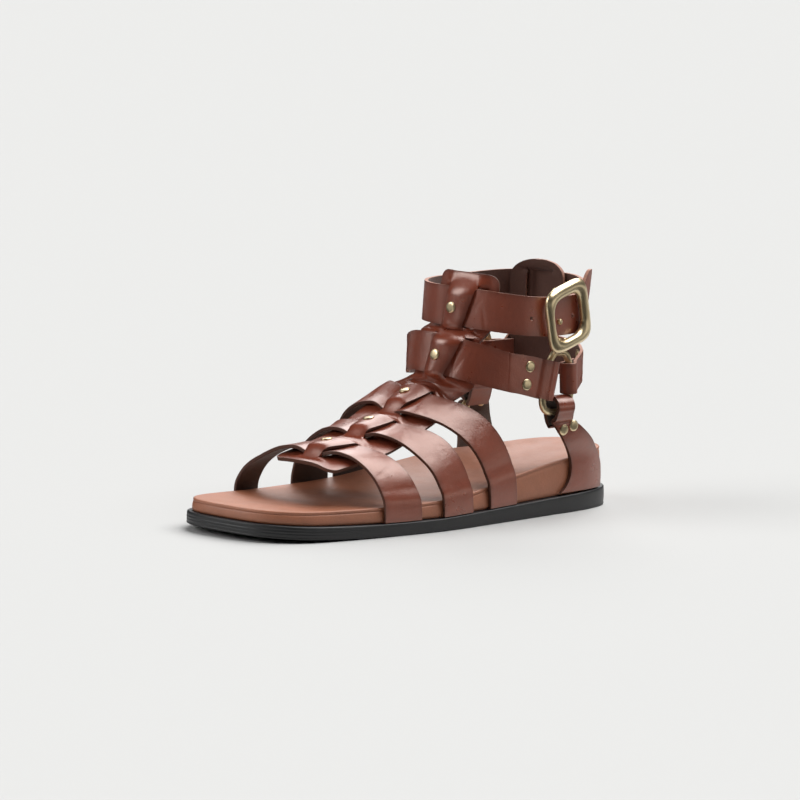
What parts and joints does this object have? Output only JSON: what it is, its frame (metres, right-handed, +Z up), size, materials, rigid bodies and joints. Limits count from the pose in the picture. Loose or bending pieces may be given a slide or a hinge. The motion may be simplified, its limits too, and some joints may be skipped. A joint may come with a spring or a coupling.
{
  "type": "footbed sandal",
  "caption": "Left ankle-strap footbed sandal: rubber outsole, contoured leather bed, woven strap upper with a slit spine, side rings and a gold frame buckle.",
  "frame": {"origin": "on the floor, under the middle of the sandal's box", "axes": "+X to the lateral (outer) side, -Y to the toe, +Z up"},
  "size_m": [0.1, 0.2629, 0.1369],
  "materials": {
    "outsole_rubber": "matt black rubber",
    "footbed_leather": "smooth tan-brown leather wrapped over the bed",
    "upper_leather": "smooth reddish-brown leather with darker cut edges",
    "pale_gold": "polished pale gold"
  },
  "bodies": {
    "root": {"outsole": "outsole_rubber", "footbed": "footbed_leather", "upper": "upper_leather", "heel_strap_lateral": "upper_leather", "heel_strap_medial": "upper_leather", "ring_lateral": "pale_gold", "ring_medial": "pale_gold", "buckle": "pale_gold", "buckle_stud": "pale_gold", "rivet_spine_1": "pale_gold", "rivet_spine_2": "pale_gold", "rivet_spine_3": "pale_gold", "rivet_spine_4": "pale_gold", "rivet_spine_5": "pale_gold", "rivet_lateral_front_1": "pale_gold", "rivet_lateral_front_2": "pale_gold", "rivet_lateral_rear_1": "pale_gold", "rivet_lateral_rear_2": "pale_gold", "rivet_lateral_heel_1": "pale_gold", "rivet_lateral_heel_2": "pale_gold", "rivet_medial_front_1": "pale_gold", "rivet_medial_front_2": "pale_gold", "rivet_medial_rear_1": "pale_gold", "rivet_medial_rear_2": "pale_gold", "rivet_medial_heel_1": "pale_gold", "rivet_medial_heel_2": "pale_gold"}
  },
  "joints": []
}
